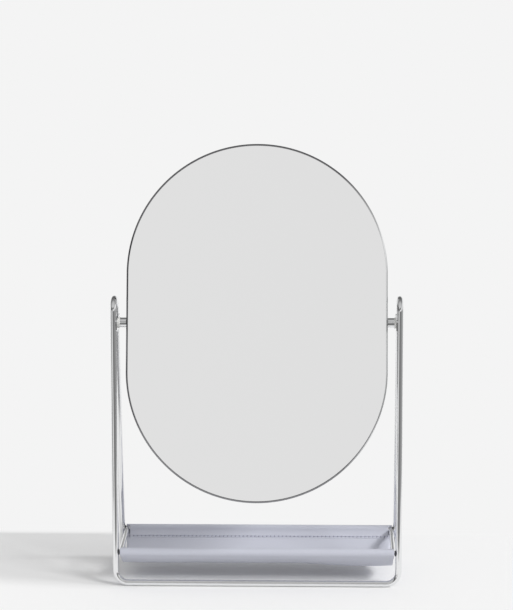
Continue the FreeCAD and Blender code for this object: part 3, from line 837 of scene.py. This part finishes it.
def sew_seam(stitch, side, name):
    """Copy the stitch along one seam and join the copies."""
    slope = math.asin(SEAM_Y / SEAM_RADIUS) * side
    place = on_arc(SEAM_RADIUS, SEAM_Y * side)
    copies = []
    for number in range(STITCH_COUNT):
        copy = stitch.copy()
        copy.data = stitch.data.copy()
        scene.collection.objects.link(copy)
        x = (number - STITCH_COUNT / 2 + 0.5) * STITCH_PITCH + STITCH_PITCH / 2
        lean = LEAN * math.sin(number * LEAN_RATE + side)
        turn = Matrix.Rotation(slope, 4, "X") @ Matrix.Rotation(lean, 4, "Z")
        copy.matrix_world = Matrix.Translation(place + Vector((x, 0, 0))) @ turn
        copies.append(copy)
    start_fresh()
    for copy in copies:
        copy.select_set(True)
    bpy.context.view_layer.objects.active = copies[0]
    bpy.ops.object.join()
    dress(settle(bpy.context.object, name), thread, "stand")


stitch = make_stitch()
print(f"one stitch: {len(stitch.data.polygons)} faces")
sew_seam(stitch, -1, "stitches_front")
sew_seam(stitch, 1, "stitches_rear")
bpy.data.objects.remove(stitch)

# %% [markdown]
# ### The soft pieces
# Two sheets and one pad are soft. The skin is pulled tight over both rails, and the
# lining lies on the board. The foam behind the glass is thin and even all over.

# %% [markdown]
# ## The band round the mirror
# The band is one strip of thin steel, rolled into a channel, so its front edge is a small
# rounded slope that falls away outwards. The slope matters: it turns away from the
# viewer, so it gathers the rest of the room into a thin line, dark above and at the
# left, bright at the right. Its finish adds to that with painted shade all round and a
# painted highlight at the right. The section is traced once and spun into a ring. Moving
# the ring's two halves apart turns the circle into a pill. The section's points are in
# millimetres, outwards from the band's outside and forwards from its middle.

# %% Make the band
BAND_RADIUS = 83.5 * MM
STRAIGHT_SIDE = 62.5 * MM
PIVOT = Vector((0, 0, 168.5 * MM))
TILT = math.radians(17.0)
BAND_STEPS = 192
SLOPE = ((0.0, 2.2), (-0.03, 2.5), (-0.14, 2.78), (-0.32, 3.03), (-0.56, 3.24))
LIP = ((-0.84, 3.4), (-1.08, 3.49), (-1.2, 3.47), (-1.24, 3.35))
INSIDE = ((-1.24, 3.0), (-0.8, 3.0))
ROUND_BELOW = math.radians(35)


def hang_on_pivot(piece):
    """Stand a flat head piece up and tilt it back about the pivot line."""
    pick(piece)
    turn = Matrix.Rotation(math.pi / 2 - TILT, 4, "X")
    piece.matrix_world = Matrix.Translation(PIVOT) @ turn @ piece.matrix_world
    bpy.context.view_layer.update()


def stretch_to_pill(piece):
    """Move the upper half of a ring up and the lower half down."""
    for side in (-1, 1):
        bpy.ops.object.mode_set(mode="OBJECT")
        for vertex in piece.data.vertices:
            vertex.select = vertex.co.y * side > 0
        for item in list(piece.data.edges) + list(piece.data.polygons):
            item.select = False
        bpy.ops.object.mode_set(mode="EDIT")
        bpy.ops.transform.translate(value=(0, side * STRAIGHT_SIDE / 2, 0))
    bpy.ops.object.mode_set(mode="OBJECT")


def make_band():
    """Trace the channel's section, spin it into a ring, stretch it and hang it up."""
    front = [(BAND_RADIUS + x * MM, z * MM) for x, z in SLOPE + LIP + INSIDE]
    back = [(x, -z) for x, z in reversed(front)]
    outline = [Vector((x, 0, z)) for x, z in front + back + front[:1]]
    piece = trace("rim_band_bead", outline)
    bpy.ops.mesh.select_all(action="SELECT")
    bpy.ops.transform.rotate(
        value=math.pi / BAND_STEPS, orient_axis="Z", center_override=(0, 0, 0)
    )
    bpy.ops.mesh.spin(
        steps=BAND_STEPS, angle=2 * math.pi, center=(0, 0, 0), axis=(0, 0, 1)
    )
    weld_and_face_out()
    settle(piece, "rim_band_bead")
    stretch_to_pill(piece)
    hang_on_pivot(piece)
    settle(piece, "rim_band_bead")
    bpy.ops.object.shade_smooth_by_angle(angle=ROUND_BELOW)
    return piece


band = make_band()
# The band's finish carries painted shade and a painted highlight at its right side.
dress(band, band_chrome_painted_shade, "head")
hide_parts("rim_band")

# %% [markdown]
# ## The stand's wire
# The stand is one endless round wire: along the floor in front, up the right front leg,
# over a hairpin, down the right rear leg, and round again on the left. In the metal frame
# it is four parts that meet end to end. Here it is swept in one go, so that reflections
# run through the corners without a break. Its centre line is drawn first, and a curve
# with a round section then follows it.

# %% Sizes of the wire
LEG_X = 91.0 * MM
BAR_Y = 25.4 * MM
WIRE_RADIUS = 2.0 * MM
LOOP_RADIUS = 8.0 * MM
LOOP_Z = 176.0 * MM
FOOT_BEND = 8.0 * MM
RUN_STEP = 3.0 * MM
CORNER_STEPS, LOOP_STEPS = 12, 16


def leg_lean():
    """Angle between a leg and the vertical, from the foot's and the loop's places."""
    rise = LOOP_Z - WIRE_RADIUS
    return math.acos(LOOP_RADIUS / math.hypot(BAR_Y, rise)) - math.atan2(rise, BAR_Y)


def straight_run(start, end):
    """Points from start towards end, without the end."""
    count = max(round((end - start).length / RUN_STEP), 1)
    return [start.lerp(end, step / count) for step in range(count)]


def round_corner(before, corner, after):
    """Points of the foot bend's arc, which rounds one right-angled corner."""
    inwards = (before - corner).normalized() * FOOT_BEND
    onwards = (after - corner).normalized() * FOOT_BEND
    centre = corner + inwards + onwards
    points = []
    for step in range(CORNER_STEPS + 1):
        angle = math.pi / 2 * step / CORNER_STEPS
        points.append(centre - onwards * math.cos(angle) - inwards * math.sin(angle))
    return points


def wire_line():
    """The closed centre line of the wire."""
    lean = leg_lean()
    up = Vector((0, math.sin(lean), math.cos(lean)))
    out = Vector((0, -math.cos(lean), math.sin(lean)))
    foot = Vector((LEG_X, -BAR_Y, WIRE_RADIUS))
    loop = Vector((LEG_X, 0, LOOP_Z))
    top = loop + out * LOOP_RADIUS
    corner = round_corner(foot - Vector((LEG_X, 0, 0)), foot, foot + up)
    front = straight_run(Vector((0, -BAR_Y, WIRE_RADIUS)), corner[0]) + corner
    front += straight_run(corner[-1], top)[1:]
    for step in range(LOOP_STEPS):
        angle = math.pi - lean - (math.pi / 2 - lean) * step / LOOP_STEPS
        front.append(loop + Vector((0, math.cos(angle), math.sin(angle))) * LOOP_RADIUS)
    rear = [Vector((point.x, -point.y, point.z)) for point in reversed(front)]
    right = front + [Vector((LEG_X, 0, LOOP_Z + LOOP_RADIUS))] + rear
    left = [Vector((-point.x, point.y, point.z)) for point in reversed(right[1:-1])]
    return right + left


centre_line = wire_line()
print(f"wire: {len(centre_line)} points")


# %% Sweep the wire
def sweep_wire(name, points, radius):
    """Draw a closed line, make it a curve with a round section, and make that a mesh."""
    piece = trace(name, points)
    bpy.ops.object.mode_set(mode="OBJECT")
    ends = (0, len(piece.data.vertices) - 1)
    for vertex in piece.data.vertices:
        vertex.select = vertex.index in ends
    bpy.ops.object.mode_set(mode="EDIT")
    bpy.ops.mesh.edge_face_add()
    settle(piece, name)
    bpy.ops.object.convert(target="CURVE")
    piece = bpy.context.object
    piece.data.bevel_depth = radius
    piece.data.bevel_resolution = 5
    bpy.ops.object.convert(target="MESH")
    piece = bpy.context.object
    bpy.ops.object.mode_set(mode="EDIT")
    weld_and_face_out()
    settle(piece, name)
    bpy.ops.object.shade_smooth()
    return piece


wire = sweep_wire("stand_wire", centre_line, WIRE_RADIUS)
dress(wire, chrome, "stand")
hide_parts("hairpin_left", "hairpin_right", "floor_bar_front", "floor_bar_rear")

# %% [markdown]
# ## Weld beads
# Where the thin side bars meet the legs, a small bead of filler closes the groove between
# the two round wires. The bead is coloured nearly black and dull, mottled a little. It
# is a sphere squeezed to fit the groove and rippled a little. In front the groove is
# filled further out.

# %% Make the beads
LEG_INNER_X = 89.0 * MM
SUNK = 0.1 * MM
FURTHER_OUT_IN_FRONT = 0.9 * MM
SQUEEZE = (0.85, 1.1, 1.8)
RIPPLE_Y, RIPPLE_Y_RATE = 0.06, 9000.0
RIPPLE_Z, RIPPLE_Z_RATE = 0.04, 7000.0


def make_weld_finish():
    material, graph = new_finish("weld filler")
    dark_mottle = graph.noise(graph.place(), scale=2200.0, detail=3.0)
    # The bead is coloured nearly black, mottled a little.
    colour = graph.mix(dark_mottle, (0.035, 0.035, 0.04, 1.0), (0.16, 0.16, 0.17, 1.0))
    normal = graph.bump(dark_mottle, distance=0.00008, strength=0.6)
    roughness = dark_mottle * 0.2 + 0.35
    close_finish(
        graph, Base__Color=colour, Metallic=0.8, Roughness=roughness, Normal=normal
    )
    return material


weld = make_weld_finish()


def make_bead(name, place):
    """One squeezed and rippled sphere."""
    start_fresh()
    bpy.ops.mesh.primitive_uv_sphere_add(
        segments=20, ring_count=14, radius=MM, location=place, scale=SQUEEZE
    )
    piece = settle(bpy.context.object, name)
    middle = Vector(place)
    for vertex in piece.data.vertices:
        reach = vertex.co - middle
        ripple = 1 + RIPPLE_Y * math.sin(reach.y * RIPPLE_Y_RATE)
        ripple += RIPPLE_Z * math.sin(reach.z * RIPPLE_Z_RATE)
        vertex.co = middle + reach * ripple
    bpy.ops.object.shade_smooth()
    dress(piece, weld, "stand")


for side_name, side in (("left", -1), ("right", 1)):
    for end_name, end in (("front", -1), ("rear", 1)):
        reach = RAIL_Y + (FURTHER_OUT_IN_FRONT if end < 0 else 0.0)
        bead_place = (side * (LEG_INNER_X - SUNK), end * reach, RAIL_Z)
        make_bead(f"weld_bead_{end_name}_{side_name}", bead_place)

# %% [markdown]
# ## The floor
# The floor is a wide pale sheet. Near the object it is an ordinary matt surface that
# takes the shadow. Far away, and a little behind the object, it turns into a plain glow
# of the same tone, which is the pale backdrop. Polished metal sees something else out
# there: the sheet is a small table top in a dim studio. Those dark surroundings draw
# the lines along every wire.
# A compass ramp holds their tone: 0.25 is the front, 0.5 the right, 0.75 the back. The
# other ramps go by the distance from the middle, halved to fit, or by metres from it.

# %% Make the floor
PALE = 0.905
FLOOR_HALF = 9.0
PAPER_DARK, PAPER_LIGHT = grey(0.885), grey(0.905)
FAR = ((0.2, 0.0), (0.45, 1.0))
SHEET_END = ((0.0745, 0.0), (0.0795, 1.0))
TABLE_SHIFT = 0.205
TABLE_END = ((0.34, 0.0), (0.42, 1.0))
LOW_ROOM = (
    (0.0, 0.28),
    (0.02, 0.19),
    (0.082, 0.19),
    (0.10, 0.95),
    (0.152, 0.95),
    (0.175, 0.24),
    (0.28, 0.19),
    (0.35, 0.27),
    (0.44, 0.34),
    (0.54, 0.42),
    (0.60, 0.88),
    (0.75, 0.90),
    (0.94, 0.85),
)


def make_floor_finish():
    material, graph = new_finish("pale paper")
    where = graph.node("ShaderNodeTexCoord", None, None, "Object")
    distance = graph.node(
        "ShaderNodeVectorMath", {"operation": "LENGTH"}, {0: where}, "Value"
    )
    far = graph.ramp(distance * 0.5, *FAR)
    seen = graph.node("ShaderNodeLightPath", None, None, "Is Camera Ray")
    glossy = graph.polished_view()
    clear = graph.node("ShaderNodeLightPath", None, None, "Is Transmission Ray")
    aside = graph.math("ABSOLUTE", graph.axis(where, "X"))
    beyond = graph.math("MAXIMUM", aside, TABLE_SHIFT - graph.axis(where, "Y"))
    beyond = graph.ramp(beyond, *TABLE_END)
    dimmed = beyond * glossy
    far = graph.math("MAXIMUM", far, graph.ramp(graph.axis(where, "Y"), *SHEET_END))
    looked_at = graph.math("MAXIMUM", far * graph.math("MAXIMUM", seen, clear), dimmed)
    grain = graph.noise(where, scale=3000.0)
    tone = graph.mix(grain, PAPER_DARK, PAPER_LIGHT)
    paper = graph.node("ShaderNodeBsdfDiffuse", None, {"Color": tone})
    studio = graph.ramp(graph.azimuth(where), *LOW_ROOM)
    tone = graph.mix(glossy, grey(PALE), studio)
    glow = graph.node("ShaderNodeEmission", None, {"Color": tone, "Strength": 1.0})
    shader = graph.node("ShaderNodeMixShader", None, {0: looked_at, 1: paper, 2: glow})
    graph.node("ShaderNodeOutputMaterial", None, {"Surface": shader})
    return material


start_fresh()
bpy.ops.mesh.primitive_plane_add(size=2 * FLOOR_HALF, location=(0, 0, 0))
floor = settle(bpy.context.object, "floor")
coat(floor, make_floor_finish())

# %% [markdown]
# ## Light
# Two broad key lights stand to the right, a little in front and above, and throw the
# soft shadow to the left. They are switched off for glossy rays, so polished metal
# doesn't show them. The rest is an even pale room. For glossy rays the room has the same
# dim studio low down, one wide pale panel in front for the mirror, a bright one at the
# right, a dark left side, and a ceiling that is pale towards the front and dark behind.

# %% The key lights and the room
ROOM = 0.563
LAMP_DISTANCE = 2.0
WALL_START = ((0.19, 0.0), (0.245, 1.0))
CEILING_START = ((0.44, 0.0), (0.47, 1.0))
CEILING = ((0.09, 0.12), (0.15, 0.62), (0.45, 0.50), (0.62, 0.22), (0.85, 0.12))
HIGH_ROOM = (
    (0.0, 0.05),
    (0.18, 0.06),
    (0.21, 0.85),
    (0.29, 0.81),
    (0.36, 0.60),
    (0.44, 0.88),
    (0.60, 0.92),
    (0.68, 0.50),
    (0.78, 0.30),
    (0.86, 0.06),
)


def make_lamp(name, height, turn, strength, spread):
    """A broad far lamp at a height and a turn from the right to the front, in degrees."""
    height, turn = math.radians(height), math.radians(turn)
    level = math.cos(height)
    direction = Vector(
        (level * math.cos(turn), -level * math.sin(turn), math.sin(height))
    )
    data = bpy.data.lights.new(name, "SUN")
    data.energy = strength
    data.angle = math.radians(spread)
    lamp = bpy.data.objects.new(name, data)
    lamp.rotation_euler = direction.to_track_quat("Z", "Y").to_euler()
    lamp.location = direction * LAMP_DISTANCE
    lamp.visible_glossy = False
    scene.collection.objects.link(lamp)


make_lamp("side key", height=33.9, turn=6.7, strength=1.20, spread=10.0)
make_lamp("front key", height=33.8, turn=32.4, strength=1.39, spread=17.0)


def make_room():
    """A pale room for most rays, and a dim studio for what polished metal shows."""
    world = bpy.data.worlds.new("room")
    scene.world = world
    world.use_nodes = True
    graph = Graph(world.node_tree)
    direction = graph.node("ShaderNodeTexCoord", None, None, "Generated")
    height = graph.axis(direction, "Z")
    compass = graph.azimuth(direction)
    studio = graph.mix(
        graph.ramp(height, *WALL_START),
        graph.ramp(compass, *LOW_ROOM),
        graph.ramp(compass, *HIGH_ROOM),
    )
    behind = graph.axis(direction, "Y") * 0.5 + 0.5
    ceiling = graph.ramp(behind, *CEILING)
    studio = graph.mix(graph.ramp(height, *CEILING_START), studio, ceiling)
    glossy = graph.polished_view()
    seen = graph.node("ShaderNodeLightPath", None, None, "Is Camera Ray")
    colour = graph.mix(seen, grey(ROOM), grey(PALE))
    colour = graph.mix(glossy, colour, studio)
    backdrop = graph.node("ShaderNodeBackground", None, {"Color": colour, "Strength": 1.0})
    graph.node("ShaderNodeOutputWorld", None, {"Surface": backdrop})


make_room()
print("lit")
